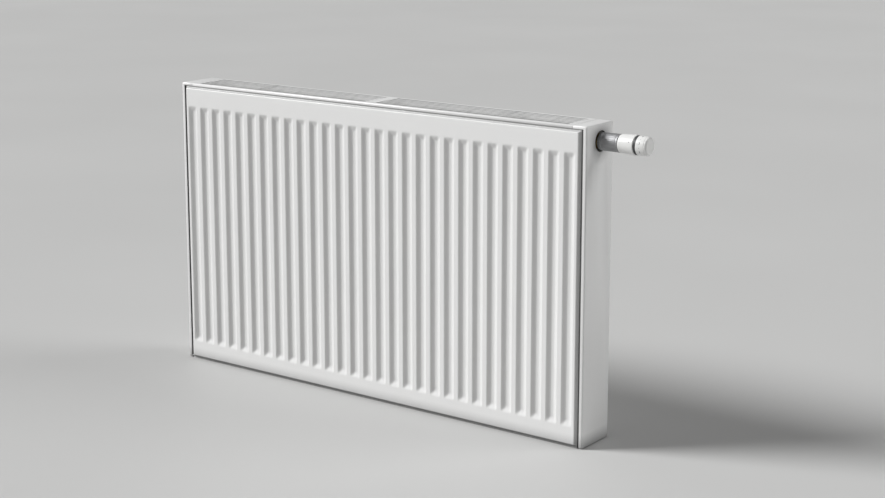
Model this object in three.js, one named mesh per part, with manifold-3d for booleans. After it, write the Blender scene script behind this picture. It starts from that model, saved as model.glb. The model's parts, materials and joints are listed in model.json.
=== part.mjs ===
// A wall-hung steel panel radiator: two pressed panels, two convectors, a steel casing, and a
// thermostatic valve built into the top right corner, with its head standing out of the side cover.
// Millimetres. X runs along the radiator towards the valve, -Y faces the room and +Z is up.
// The origin is the centre of the four hanging lugs, in the plane where they meet the wall brackets.
import * as THREE from "three";
import { mergeVertices } from "three/addons/utils/BufferGeometryUtils.js";
import Module from "manifold-3d";

const wasm = await Module();
wasm.setup();

// ---------------------------------------------------------------- driving dimensions

const LENGTH = 1000; // over the side covers
const HEIGHT = 600;
const DEPTH = 100; // front face of the front panel to back face of the rear panel
const LUG_REACH = 8; // hanging lugs, behind the back face
const GAP = 0.3; // between pieces that touch

const RIBS = 30; // water channels in each panel
const SHEET = 1.25; // panel sheet
const PRESS = 6; // depth of the grooves and of the panel's bulge
const PITCH = LENGTH / RIBS;
const HALF_LENGTH = LENGTH / 2;
const TOP = HEIGHT / 2;
const BOTTOM = -HEIGHT / 2;
const FRONT_Y = -(DEPTH + LUG_REACH);
const BACK_Y = -LUG_REACH;
const MID_Y = (FRONT_Y + BACK_Y) / 2;
const PANEL = 2 * (PRESS + SHEET) + GAP; // thickness of one panel

// Edges of the panel's flat face, and how far each side runs outwards over the depth PRESS.
const BULGE = { x0: -484, x1: 484, z0: BOTTOM + 8, z1: TOP - 13 };
const BULGE_RUN = { x: 3.5, low: 4.5, high: 4.5 };
const FLANGE = { x0: -489.5, x1: 489.5, z0: BOTTOM, z1: TOP - 2.5 };
const GROOVE = { mouth: 24, z0: BOTTOM + 40, z1: TOP - 48 };
const GROOVE_RUN = { x: -9.5, low: -9, high: -8 };

const CASING = 1.2; // cover and grille sheet
const CASING_SET_BACK = 4.4; // casing behind the panel faces
const CASING_ROUND = 2.5;
const CASING_LIP = 5.7; // downturned lips of the grille
const COVER_RETURN = 30; // cover's top, measured along the radiator
const COVER_LIP = 7.7; // front and back lips of the side covers
const COVER_BOTTOM = BOTTOM + 2;
const SLOT = { width: 8, count: 6, margin: 9, end: 14 };
const GRILLE_STRAP = 26; // unslotted middle of the grille
const GRILLE_WEB = { thickness: 2.5, height: 4.4, pitch: 98 };
const CLIP = { x: 300, width: 18, sheet: 1, tip: TOP - 3.5, bar: TOP - 7.8 };

const CONVECTOR = {
  sheet: 0.6,
  depth: 27.4,
  base: 10, // flat welded to a rib
  crest: 16, // flat away from the panel
  firstRib: 2,
  lastRib: 25,
  margin: 45, // from the radiator's top and bottom
};

const HEADER_Z = TOP - 32; // top fittings and valve axis
const FOOT_HEADER_Z = BOTTOM + 30; // bottom fittings
const LEFT_TEE_X = -455;
const RIGHT_TEE_X = 450;
const BRANCH_X = 455; // valve's outlet into the panels
const TEE = { radius: 15, bore: 11, portRadius: 13.5, portBore: 9.3, portEnd: 486 };

const NIPPLE_SPACING = 50;
const NIPPLE = { radius: 13.2, bore: 9, end: BOTTOM + 1, top: BOTTOM + 14.3 };
const COLLAR = { radius: 15, height: 5 }; // of the supply nipple
const SOCKET = { radius: 10.5, height: 18 }; // for the riser, over the collar
const STAY = { margin: 20, z0: BOTTOM + 11, z1: BOTTOM + 14 };
const RISER = {
  radius: 7.5,
  bore: 6.5,
  x: 432,
  foot: BOTTOM + 21.5,
  bendFrom: BOTTOM + 50,
  bendTo: BOTTOM + 140,
  top: HEADER_Z - 16,
};

const LUG = { groove: 4, height: 30, z: 200, sheet: 2.5, foot: 22, inside: 10 };

const VALVE_Y = FRONT_Y + 53;
const VALVE_HOLE = 19.5;
const VENT_HOLE = 14;
const SEAT_X = 445;
const NECK_END = 511;
const NUT = { start: 501, end: 542, radius: 16.8, threadBore: 15.2 };
const DIAL_START = 579.5;
const DIAL_END = 596.2;
const HEAD_END = 601.5;

const FINE = 28; // sides of the round pieces that show
const COARSE = 18; // sides of the round pieces that don't
const CORNER_STEPS = 3; // steps in a rounded corner of the casing

// ---------------------------------------------------------------- materials

const material = (color, roughness, metalness) =>
  new THREE.MeshStandardMaterial({ color, roughness, metalness });
const enamel = material(0xf1f1ef, 0.4, 0);
const enamelInside = material(0xe6e6e4, 0.55, 0);
const nickel = material(0x8f9194, 0.3, 1);
const brass = material(0xc7a052, 0.35, 1);
const aluminium = material(0xb8b8ba, 0.4, 1);
const steel = material(0xa9abad, 0.4, 1);
const whitePlastic = material(0xf2f2f0, 0.35, 0);
const darkPlastic = material(0x2b2d2f, 0.5, 0);
const rubber = material(0x18191a, 0.8, 0);

// ---------------------------------------------------------------- solids

// A closed manifold solid from a geometry, turned so that its faces point out.
function solid(geometry) {
  const bare = geometry.index ? geometry.toNonIndexed() : geometry.clone();
  bare.deleteAttribute("normal");
  bare.deleteAttribute("uv");
  const merged = mergeVertices(bare, 1e-3);
  const p = merged.attributes.position.array;
  const corners = [];
  for (let i = 0; i < merged.index.count; i += 3) {
    const [a, b, c] = merged.index.array.subarray(i, i + 3);
    if (a !== b && b !== c && c !== a) corners.push([a, b, c]);
  }
  const vertex = (i) => new THREE.Vector3().fromArray(p, i * 3);
  const volume = corners.reduce(
    (sum, [a, b, c]) => sum + vertex(a).dot(vertex(b).cross(vertex(c))),
    0,
  );
  const facingOut = volume < 0 ? corners.map(([a, b, c]) => [a, c, b]) : corners;
  return new wasm.Manifold(
    new wasm.Mesh({
      numProp: 3,
      vertProperties: new Float32Array(p),
      triVerts: new Uint32Array(facingOut.flat()),
    }),
  );
}

const join = (...solids) => solids.reduce((whole, next) => whole.add(next));
const cut = (whole, ...tools) => tools.reduce((left, tool) => left.subtract(tool), whole);

// A named mesh from a solid.
function piece(name, made, finish) {
  const { vertProperties, triVerts } = made.getMesh();
  const geometry = new THREE.BufferGeometry();
  geometry.setAttribute("position", new THREE.BufferAttribute(vertProperties, 3));
  geometry.setIndex(new THREE.BufferAttribute(triVerts, 1));
  const flat = geometry.toNonIndexed();
  flat.computeVertexNormals();
  const mesh = new THREE.Mesh(flat, finish);
  mesh.name = name;
  return mesh;
}

// A block between two corners.
function block([x0, y0, z0], [x1, y1, z1]) {
  const box = new THREE.BoxGeometry(x1 - x0, y1 - y0, z1 - z0);
  box.translate((x0 + x1) / 2, (y0 + y1) / 2, (z0 + z1) / 2);
  return solid(box);
}

// Extrusions of a shape: along Z from its XY plane, along X from YZ, and along -Y from XZ.
const AXES = {
  z: [[1, 0, 0], [0, 1, 0], [0, 0, 1]],
  x: [[0, 1, 0], [0, 0, 1], [1, 0, 0]],
  y: [[1, 0, 0], [0, 0, 1], [0, -1, 0]],
};
function prism(shape, along, from, to) {
  const depth = Math.abs(to - from);
  const made = new THREE.ExtrudeGeometry(shape, { depth, bevelEnabled: false });
  made.translate(0, 0, along === "y" ? -Math.max(from, to) : Math.min(from, to));
  const [a, b, c] = AXES[along].map((v) => new THREE.Vector3(...v));
  made.applyMatrix4(new THREE.Matrix4().makeBasis(a, b, c));
  return solid(made);
}

// A turned solid. The profile is [distance along the axis, radius] and runs from the axis to the
// axis, or closes on itself.
function turned(profile, sides = COARSE) {
  const points = profile.map(([along, radius]) => new THREE.Vector2(radius, along));
  if (!profile.every(([, radius]) => radius > 0)) return new THREE.LatheGeometry(points, sides);
  return new THREE.LatheGeometry([...points, points[0].clone()], sides);
}
const turnedX = (profile, y, z, sides) =>
  solid(turned(profile, sides).rotateZ(-Math.PI / 2).translate(0, y, z));
const turnedY = (profile, x, z, sides) => solid(turned(profile, sides).translate(x, 0, z));
const turnedZ = (profile, x, y, sides) =>
  solid(turned(profile, sides).rotateX(Math.PI / 2).translate(x, y, 0));
const rod = (from, to, radius) => [[from, 0], [from, radius], [to, radius], [to, 0]];
const ring = (from, to, inner, outer) => [[from, inner], [from, outer], [to, outer], [to, inner]];

// A shape of even thickness on the left of an open line.
function strip(line, thickness) {
  const points = line.map(([x, y]) => new THREE.Vector2(x, y));
  const normals = points.slice(1).map((p, i) => {
    const along = p.clone().sub(points[i]).normalize();
    return new THREE.Vector2(-along.y, along.x);
  });
  const offset = points.map((p, i) => {
    const before = normals[Math.max(i - 1, 0)];
    const after = normals[Math.min(i, normals.length - 1)];
    const mitre = before.clone().add(after).divideScalar(1 + before.dot(after));
    return p.clone().addScaledVector(mitre, thickness);
  });
  return new THREE.Shape([...points, ...offset.reverse()]);
}

function hexagon(acrossFlats) {
  const corner = acrossFlats / Math.sqrt(3);
  const points = [0, 1, 2, 3, 4, 5].map((i) => {
    const angle = (i * Math.PI) / 3;
    return new THREE.Vector2(corner * Math.cos(angle), corner * Math.sin(angle));
  });
  return new THREE.Shape(points);
}

// ---------------------------------------------------------------- panels

// A block whose four sides run outwards with depth. The edges are those at depth 0, moved out by
// the sheet's thickness, square to each side, times outset.
function flared(edges, run, outset, nearDepth, farDepth) {
  const grow = (side, depth) =>
    (side * depth) / PRESS + outset * SHEET * Math.hypot(1, side / PRESS);
  const box = new THREE.BoxGeometry(1, 1, 1);
  const p = box.attributes.position;
  for (let i = 0; i < p.count; i += 1) {
    const depth = p.getY(i) < 0 ? nearDepth : farDepth;
    const x = p.getX(i) < 0 ? edges.x0 - grow(run.x, depth) : edges.x1 + grow(run.x, depth);
    const z = p.getZ(i) < 0 ? edges.z0 - grow(run.low, depth) : edges.z1 + grow(run.high, depth);
    p.setXYZ(i, x, depth, z);
  }
  return solid(box);
}

// One pressed sheet, face at y = 0 and flange at y = PRESS, with a water port at each place given.
function pressedSheet(ports) {
  const back = PRESS + SHEET;
  const bulge = flared(BULGE, BULGE_RUN, 0, 0, PRESS + SHEET / 2);
  const flange = block([FLANGE.x0, PRESS, FLANGE.z0], [FLANGE.x1, back, FLANGE.z1]);
  let cavity = flared(BULGE, BULGE_RUN, -1, SHEET, back + 1);
  let sheet = join(bulge, flange);
  for (let groove = 1; groove < RIBS; groove += 1) {
    const middle = groove * PITCH - HALF_LENGTH;
    const { mouth, z0, z1 } = GROOVE;
    const edges = { x0: middle - mouth / 2, x1: middle + mouth / 2, z0, z1 };
    cavity = cut(cavity, flared(edges, GROOVE_RUN, 1, 0, back + 1));
    sheet = cut(sheet, flared(edges, GROOVE_RUN, 0, -1, PRESS));
  }
  const holes = ports.map(([x, z]) => turnedY(rod(-1, back + 1, TEE.bore), x, z));
  return cut(sheet, cavity, ...holes);
}

const PORTS = [
  [LEFT_TEE_X, HEADER_Z],
  [LEFT_TEE_X, FOOT_HEADER_Z],
  [RIGHT_TEE_X, FOOT_HEADER_Z],
  [BRANCH_X, HEADER_Z],
];

// A sheet facing the room stands at y, and one facing the wall is its mirror image.
function placedSheet(name, made, y, facing) {
  const sheet = piece(name, made, facing.inside ? enamelInside : enamel);
  sheet.position.y = y;
  sheet.scale.y = facing.mirrored ? -1 : 1;
  return sheet;
}

function panels() {
  const plain = pressedSheet([]);
  const ported = pressedSheet(PORTS);
  return [
    placedSheet("front_panel_front_sheet", plain, FRONT_Y, {}),
    placedSheet("front_panel_back_sheet", ported, FRONT_Y + PANEL, { mirrored: true, inside: true }),
    placedSheet("rear_panel_front_sheet", ported, BACK_Y - PANEL, { inside: true }),
    placedSheet("rear_panel_back_sheet", plain, BACK_Y, { mirrored: true }),
  ];
}

// A folded strip with its folds welded to the ribs, its crests pointing away from the panel.
function convector(name, weldY, towards) {
  const line = [];
  for (let rib = CONVECTOR.firstRib; rib <= CONVECTOR.lastRib; rib += 1) {
    const middle = (rib + 0.5) * PITCH - HALF_LENGTH;
    const next = middle + PITCH / 2;
    line.push([middle - CONVECTOR.base / 2, 0], [middle + CONVECTOR.base / 2, 0]);
    if (rib < CONVECTOR.lastRib) {
      line.push([next - CONVECTOR.crest / 2, CONVECTOR.depth - CONVECTOR.sheet]);
      line.push([next + CONVECTOR.crest / 2, CONVECTOR.depth - CONVECTOR.sheet]);
    }
  }
  const folded = strip(line, CONVECTOR.sheet);
  const mesh = piece(
    name,
    prism(folded, "z", BOTTOM + CONVECTOR.margin, TOP - CONVECTOR.margin),
    enamelInside,
  );
  mesh.position.y = weldY;
  mesh.scale.y = towards;
  return mesh;
}

function convectors() {
  return [
    convector("front_convector", FRONT_Y + PANEL + GAP, 1),
    convector("rear_convector", BACK_Y - PANEL - GAP, -1),
  ];
}

// A lug bridges one groove of the rear panel. The wall bracket's hook goes up behind the bridge.
function hangingLug(name, groove, z) {
  const foot = BACK_Y + GAP;
  const line = [
    [-LUG.foot, foot],
    [-LUG.inside, foot],
    [-LUG.inside, -LUG.sheet],
    [LUG.inside, -LUG.sheet],
    [LUG.inside, foot],
    [LUG.foot, foot],
  ];
  const made = prism(strip(line, LUG.sheet), "z", z - LUG.height / 2, z + LUG.height / 2);
  const lug = piece(name, made, enamel);
  lug.position.x = groove * PITCH - HALF_LENGTH;
  return lug;
}

function hangingLugs() {
  const right = RIBS - LUG.groove;
  return [
    hangingLug("hanging_lug_upper_left", LUG.groove, LUG.z),
    hangingLug("hanging_lug_upper_right", right, LUG.z),
    hangingLug("hanging_lug_lower_left", LUG.groove, -LUG.z),
    hangingLug("hanging_lug_lower_right", right, -LUG.z),
  ];
}

// ---------------------------------------------------------------- casing

// A rectangle with rounded corners where round is true, in the order low-left, low-right,
// high-right, high-left.
function roundedShape(x0, x1, y0, y1, radius, round) {
  const corners = [
    [x0, y0, 1, 1, Math.PI],
    [x1, y0, -1, 1, -Math.PI / 2],
    [x1, y1, -1, -1, 0],
    [x0, y1, 1, -1, Math.PI / 2],
  ];
  const points = corners.flatMap(([x, y, inX, inY, start], i) => {
    if (!round[i]) return [new THREE.Vector2(x, y)];
    const steps = [...Array(CORNER_STEPS + 1).keys()];
    return steps.map((step) => {
      const angle = start + (step / CORNER_STEPS) * (Math.PI / 2);
      const across = radius * (inX + Math.cos(angle));
      const up = radius * (inY + Math.sin(angle));
      return new THREE.Vector2(x + across, y + up);
    });
  });
  return new THREE.Shape(points);
}

const CASING_Y0 = FRONT_Y + CASING_SET_BACK;
const CASING_Y1 = BACK_Y - CASING_SET_BACK;
// The casing's outline seen from the end, drawn in by inset.
const endOutline = (inset, low) =>
  roundedShape(
    CASING_Y0 + inset,
    CASING_Y1 - inset,
    low,
    TOP - inset,
    CASING_ROUND - inset,
    [false, false, true, true],
  );

function topGrille() {
  const half = HALF_LENGTH - COVER_RETURN - GAP;
  const low = TOP - CASING_LIP;
  let grille = cut(
    prism(endOutline(0, low), "x", -half, half),
    prism(endOutline(CASING, low - 1), "x", -half - 1, half + 1),
  );
  const y0 = CASING_Y0 + SLOT.margin;
  const y1 = CASING_Y1 - SLOT.margin;
  const slotPitch = (y1 - y0 - SLOT.width) / (SLOT.count - 1);
  const slotLength = half - SLOT.end - GRILLE_STRAP / 2;
  for (let web = 1; web * GRILLE_WEB.pitch < slotLength; web += 1) {
    const x = GRILLE_STRAP / 2 + web * GRILLE_WEB.pitch - GRILLE_WEB.thickness / 2;
    for (const from of [x, -x - GRILLE_WEB.thickness]) {
      const high = TOP - CASING / 2;
      const corner = [from + GRILLE_WEB.thickness, y1, high];
      grille = join(grille, block([from, y0, high - GRILLE_WEB.height], corner));
    }
  }
  for (let slot = 0; slot < SLOT.count; slot += 1) {
    const y = y0 + slot * slotPitch;
    for (const from of [GRILLE_STRAP / 2, -GRILLE_STRAP / 2 - slotLength]) {
      const low = [from, y, TOP - 2 * CASING];
      grille = cut(grille, block(low, [from + slotLength, y + SLOT.width, TOP + 1]));
    }
  }
  return piece("top_grille", grille, enamel);
}

// The right side cover. The left one is its mirror image, with another hole.
function sideCover(holeRadius, holeY) {
  const inner = HALF_LENGTH - COVER_RETURN;
  const rounded = (inset, low) => {
    const x1 = HALF_LENGTH - inset;
    const x0 = inner - inset;
    const y0 = CASING_Y0 + inset;
    const y1 = CASING_Y1 - inset;
    const radius = CASING_ROUND - inset;
    const plan = roundedShape(x0, x1, y0, y1, radius, [false, true, true, false]);
    const face = roundedShape(x0, x1, low, TOP - inset, radius, [false, false, true, false]);
    return prism(endOutline(inset, low), "x", x0, x1)
      .intersect(prism(plan, "z", low, TOP - inset))
      .intersect(prism(face, "y", y0, y1));
  };
  const lipInside = HALF_LENGTH - COVER_LIP;
  const open = block(
    [inner - 1, CASING_Y0 - 1, COVER_BOTTOM - 1],
    [lipInside, CASING_Y1 + 1, TOP - CASING_LIP],
  );
  const hole = turnedX(rod(lipInside, HALF_LENGTH + 1, holeRadius), holeY, HEADER_Z, FINE);
  return cut(rounded(0, COVER_BOTTOM), rounded(CASING, COVER_BOTTOM - 1), open, hole);
}

function sideCovers() {
  const right = piece("right_side_cover", sideCover(VALVE_HOLE, VALVE_Y), enamel);
  const left = piece("left_side_cover", sideCover(VENT_HOLE, MID_Y), enamel);
  left.scale.x = -1;
  return [right, left];
}

// A spring strip between the two panels' flanges, which the grille snaps onto.
function grilleClip(name, x) {
  const reach = PANEL / 2 + SHEET + 2 * GAP;
  const line = [
    [BACK_Y - reach, CLIP.tip],
    [BACK_Y - reach, CLIP.bar],
    [FRONT_Y + reach, CLIP.bar],
    [FRONT_Y + reach, CLIP.tip],
  ];
  const made = prism(strip(line, -CLIP.sheet), "x", x - CLIP.width / 2, x + CLIP.width / 2);
  return piece(name, made, steel);
}

const casing = () => [
  topGrille(),
  ...sideCovers(),
  grilleClip("grille_clip_left", -CLIP.x),
  grilleClip("grille_clip_right", CLIP.x),
];

// ---------------------------------------------------------------- fittings

const PANEL_FACE_0 = FRONT_Y + PANEL + GAP;
const PANEL_FACE_1 = BACK_Y - PANEL - GAP;

// A pipe between the two panels with a threaded port towards the side cover.
function cornerTee(name, x, z) {
  const side = Math.sign(x);
  const port = (radius, end) =>
    turnedX(rod(Math.min(x, side * end), Math.max(x, side * end), radius), MID_Y, z);
  const body = join(
    turnedY(rod(PANEL_FACE_0, PANEL_FACE_1, TEE.radius), x, z),
    port(TEE.portRadius, TEE.portEnd),
  );
  const bore = turnedY(rod(PANEL_FACE_0 - 1, PANEL_FACE_1 + 1, TEE.bore), x, z);
  return { name, body, tools: [bore, port(TEE.portBore, TEE.portEnd + 1)] };
}
const plainTee = ({ name, body, tools }) => piece(name, cut(body, ...tools), enamelInside);

// The bottom right fitting carries the return nipple, which leaves it straight down.
function returnTee() {
  const tee = cornerTee("bottom_right_return_tee", RIGHT_TEE_X, FOOT_HEADER_Z);
  const nipple = turnedZ(rod(NIPPLE.end, FOOT_HEADER_Z, NIPPLE.radius), RIGHT_TEE_X, MID_Y);
  const bore = turnedZ(rod(NIPPLE.end - 1, FOOT_HEADER_Z, NIPPLE.bore), RIGHT_TEE_X, MID_Y);
  return piece(tee.name, cut(join(tee.body, nipple), ...tee.tools, bore), enamelInside);
}

const SUPPLY_X = RIGHT_TEE_X - NIPPLE_SPACING;

function supplyNipple() {
  const socket = RISER.radius + GAP;
  const profile = [
    [NIPPLE.end, NIPPLE.bore],
    [NIPPLE.end, NIPPLE.radius],
    [NIPPLE.top, NIPPLE.radius],
    [NIPPLE.top, COLLAR.radius],
    [NIPPLE.top + COLLAR.height, COLLAR.radius],
    [NIPPLE.top + COLLAR.height, SOCKET.radius],
    [NIPPLE.top + SOCKET.height, SOCKET.radius],
    [NIPPLE.top + SOCKET.height, socket],
    [RISER.foot - GAP, socket],
    [RISER.foot - GAP, RISER.bore],
    [NIPPLE.top, RISER.bore],
    [NIPPLE.top, NIPPLE.bore],
  ];
  return piece("supply_nipple", turnedZ(profile, SUPPLY_X, MID_Y), nickel);
}

// A stay that keeps the two nipples at their spacing.
function nippleStay() {
  const plate = block(
    [SUPPLY_X - STAY.margin, MID_Y - STAY.margin, STAY.z0],
    [RIGHT_TEE_X + STAY.margin, MID_Y + STAY.margin, STAY.z1],
  );
  const hole = (x) => turnedZ(rod(STAY.z0 - 1, STAY.z1 + 1, NIPPLE.radius + 2 * GAP), x, MID_Y);
  return piece("nipple_stay", cut(plate, hole(SUPPLY_X), hole(RIGHT_TEE_X)), steel);
}

// The riser leaves the supply nipple straight, bends sideways and ends straight in the valve.
class RiserRoute extends THREE.Curve {
  getPoint(t) {
    const z = RISER.foot + (RISER.top - RISER.foot) * t;
    const across = THREE.MathUtils.smoothstep(z, RISER.bendFrom, RISER.bendTo);
    const x = THREE.MathUtils.lerp(SUPPLY_X, RISER.x, across);
    const y = THREE.MathUtils.lerp(MID_Y, VALVE_Y, across);
    return new THREE.Vector3(x, y, z);
  }
}

function riserPipe() {
  const route = new RiserRoute();
  const section = new THREE.Shape();
  section.absarc(0, 0, RISER.radius, 0, 2 * Math.PI);
  const bore = new THREE.Path();
  bore.absarc(0, 0, RISER.bore, 0, 2 * Math.PI);
  section.holes.push(bore);
  const tube = new THREE.ExtrudeGeometry(section, {
    extrudePath: route,
    steps: 26,
    curveSegments: 6,
    bevelEnabled: false,
  });
  return piece("riser_pipe", solid(tube), enamelInside);
}

// Turned and hexagonal pieces on a port's axis. Distances run outwards from the port's end face.
function onPort(side, z) {
  const at = (distance) => side * (TEE.portEnd + distance);
  const span = (from, to) => [Math.min(at(from), at(to)), Math.max(at(from), at(to))];
  return {
    turned: (profile, sides) =>
      turnedX(profile.map(([distance, radius]) => [at(distance), radius]), MID_Y, z, sides),
    prism: (shape, from, to) =>
      prism(shape, "x", ...span(from, to)).translate([0, MID_Y, z]),
  };
}

const SEAL = { from: GAP, to: GAP + 1.2, inner: 9.6, outer: 12.5 };
const PLUG = { shank: 9, reach: 14, from: SEAL.to + GAP, head: 5, acrossFlats: 23, key: 10 };

function portSeal(name, side, z) {
  return piece(name, onPort(side, z).turned(ring(SEAL.from, SEAL.to, SEAL.inner, SEAL.outer)), rubber);
}

const plugBody = (port) =>
  join(
    port.turned(rod(-PLUG.reach, PLUG.from + 1, PLUG.shank)),
    port.prism(hexagon(PLUG.acrossFlats), PLUG.from, PLUG.from + PLUG.head),
  );

function blindPlug(name, side, z) {
  const port = onPort(side, z);
  const key = port.prism(hexagon(PLUG.key), PLUG.from - 3, PLUG.from + PLUG.head + 1);
  return piece(name, cut(plugBody(port), key), nickel);
}

const VENT = { nose: 6, noseEnd: 11, bore: 3, passage: 1.5, outlet: 10, spout: 1.2 };
const BLEED = { point: 0.4, shoulder: 1.4, tip: 1.2, neck: 8, end: VENT.noseEnd + 1.8, key: 4 };

// The air vent: a bored plug, an outlet that swivels on its nose, and the bleed screw inside.
function airVent() {
  const side = -1;
  const port = onPort(side, HEADER_Z);
  const nose = port.turned(rod(PLUG.from + 1, VENT.noseEnd, VENT.nose));
  const outletFrom = PLUG.from + PLUG.head + GAP;
  const outletTo = VENT.noseEnd + 0.4;
  const spoutX = side * (TEE.portEnd + (outletFrom + outletTo) / 2);
  const spout = turnedZ(rod(HEADER_Z - VENT.outlet - 1, HEADER_Z, VENT.spout), spoutX, MID_Y);
  const plug = cut(
    join(plugBody(port), nose),
    port.turned(rod(0, VENT.noseEnd + 1, VENT.bore)),
    port.turned(rod(-PLUG.reach - 1, 1, VENT.passage)),
    spout,
  );
  const outlet = cut(
    port.turned(ring(outletFrom, outletTo, VENT.nose + GAP, VENT.outlet), FINE),
    spout,
  );
  const stem = VENT.bore - GAP;
  const half = BLEED.key / 2;
  const square = roundedShape(-half, half, -half, half, 0, [false, false, false, false]);
  const screw = join(
    port.turned([
      [BLEED.point, 0],
      [BLEED.shoulder, BLEED.tip],
      [BLEED.shoulder, stem],
      [BLEED.neck + 1, stem],
      [BLEED.neck + 1, 0],
    ]),
    port.prism(square, BLEED.neck, BLEED.end),
  );
  return [
    piece("air_vent_plug", plug, nickel),
    piece("air_vent_outlet", outlet, whitePlastic),
    piece("bleed_screw", screw, brass),
  ];
}

function fittings() {
  return [
    plainTee(cornerTee("top_left_tee", LEFT_TEE_X, HEADER_Z)),
    plainTee(cornerTee("bottom_left_tee", LEFT_TEE_X, FOOT_HEADER_Z)),
    returnTee(),
    supplyNipple(),
    nippleStay(),
    riserPipe(),
    blindPlug("blind_plug_left", -1, FOOT_HEADER_Z),
    blindPlug("blind_plug_right", 1, FOOT_HEADER_Z),
    portSeal("blind_plug_seal_left", -1, FOOT_HEADER_Z),
    portSeal("blind_plug_seal_right", 1, FOOT_HEADER_Z),
    portSeal("air_vent_seal", -1, HEADER_Z),
    ...airVent(),
  ];
}

// ---------------------------------------------------------------- valve

const onValve = (profile, sides) => turnedX(profile, VALVE_Y, HEADER_Z, sides);

const HOUSING = { from: 420, to: 482, radius: 16, chamber: 11, seatBore: 6.5, insertBore: 12.3 };
const BRANCH = { x: BRANCH_X, radius: 13.5, bore: 9 };
const INLET = { foot: HEADER_Z - 30, radius: 10.5 };

// The housing takes the riser from below. Water passes its seat and leaves by the branch, which
// opens into both panels.
function valveHousing() {
  const body = onValve(rod(HOUSING.from, HOUSING.to, HOUSING.radius));
  const branch = turnedY(rod(PANEL_FACE_0, PANEL_FACE_1, BRANCH.radius), BRANCH.x, HEADER_Z);
  const socket = turnedZ(rod(INLET.foot, HEADER_Z, INLET.radius), RISER.x, VALVE_Y);
  const flow = onValve([
    [HOUSING.from + 4, 0],
    [HOUSING.from + 4, HOUSING.chamber],
    [SEAT_X - 4, HOUSING.chamber],
    [SEAT_X - 4, HOUSING.seatBore],
    [SEAT_X, HOUSING.seatBore],
    [SEAT_X, HOUSING.insertBore],
    [HOUSING.to + 1, HOUSING.insertBore],
    [HOUSING.to + 1, 0],
  ]);
  const branchBore = rod(PANEL_FACE_0 - 1, PANEL_FACE_1 + 1, BRANCH.bore);
  const socketBore = rod(INLET.foot - 1, RISER.top + GAP, RISER.radius + GAP);
  const made = cut(
    join(body, branch, socket),
    flow,
    turnedY(branchBore, BRANCH.x, HEADER_Z),
    turnedZ(socketBore, RISER.x, VALVE_Y),
    turnedZ(rod(RISER.top, HEADER_Z, RISER.bore), RISER.x, VALVE_Y),
  );
  return piece("valve_housing", made, enamelInside);
}

const INSERT = {
  from: 458,
  springEnd: 470, // of the return spring's chamber
  hex: 484.1,
  hexEnd: 490.1,
  gland: 500, // bottom of the gland's chamber
  acrossFlats: 28,
  radius: 12,
  neck: 14.8,
  bore: 3.3,
  springBore: 8,
  glandBore: 7.3,
};

// The screwed-in insert: body, gland, spindle with its cone and seal disc, and the return spring.
function insertBody() {
  const { from, springEnd, hex, hexEnd, gland } = INSERT;
  const nutHex = prism(hexagon(INSERT.acrossFlats), "x", hex, hexEnd).translate([0, VALVE_Y, HEADER_Z]);
  const barrel = onValve([
    [from, INSERT.springBore],
    [from, INSERT.radius],
    [hexEnd - 5, INSERT.radius],
    [hexEnd - 5, INSERT.radius - 2],
    [hexEnd - 1, INSERT.radius - 2],
    [hexEnd - 1, INSERT.neck],
    [NECK_END - 1, INSERT.neck],
    [NECK_END, INSERT.neck - 0.8],
    [NECK_END, INSERT.glandBore],
    [gland, INSERT.glandBore],
    [gland, INSERT.bore],
    [springEnd, INSERT.bore],
    [springEnd, INSERT.springBore],
  ], FINE);
  const through = onValve(rod(hex - 4, gland, INSERT.bore));
  return piece("valve_insert_body", join(barrel, cut(nutHex, through)), brass);
}

// A coil along the valve's axis.
function spring(name, { radius, wire, from, to, turns }) {
  class Helix extends THREE.Curve {
    getPoint(t) {
      const angle = 2 * Math.PI * turns * t;
      return new THREE.Vector3(
        from + (to - from) * t,
        VALVE_Y + radius * Math.cos(angle),
        HEADER_Z + radius * Math.sin(angle),
      );
    }
  }
  const section = new THREE.Shape();
  section.absarc(0, 0, wire, 0, 2 * Math.PI);
  const coil = new THREE.ExtrudeGeometry(section, {
    extrudePath: new Helix(),
    steps: 12 * turns,
    curveSegments: 3,
    bevelEnabled: false,
  });
  return piece(name, solid(coil), steel);
}

const SPINDLE = { from: SEAT_X + 1.2, end: 517.5, radius: 2, flange: 3.2 };
const DISC = { from: 447.5, to: 449.5, radius: 8 };
const CONE = { from: 449.8, to: 452.8, radius: 9 };
const GLAND = { from: 503.5, radius: 7, flange: 9, end: NECK_END + 2.5 };
const PRESETTING = { end: NECK_END + 5.4, inner: 9.4, outer: 13.6 };
const VALVE_SPRING = { radius: 5.5, wire: 0.7, from: 455.6, to: 469, turns: 4 };

// The disc and the cone are held between the spindle's two flanges.
const spindleProfile = () => [
  [SPINDLE.from, 0],
  [SPINDLE.from, SPINDLE.flange],
  [DISC.from - GAP, SPINDLE.flange],
  [DISC.from - GAP, SPINDLE.radius],
  [CONE.to + GAP, SPINDLE.radius],
  [CONE.to + GAP, SPINDLE.flange],
  [CONE.to + 1.7, SPINDLE.flange],
  [CONE.to + 1.7, SPINDLE.radius],
  [SPINDLE.end, SPINDLE.radius],
  [SPINDLE.end, 0],
];

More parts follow.
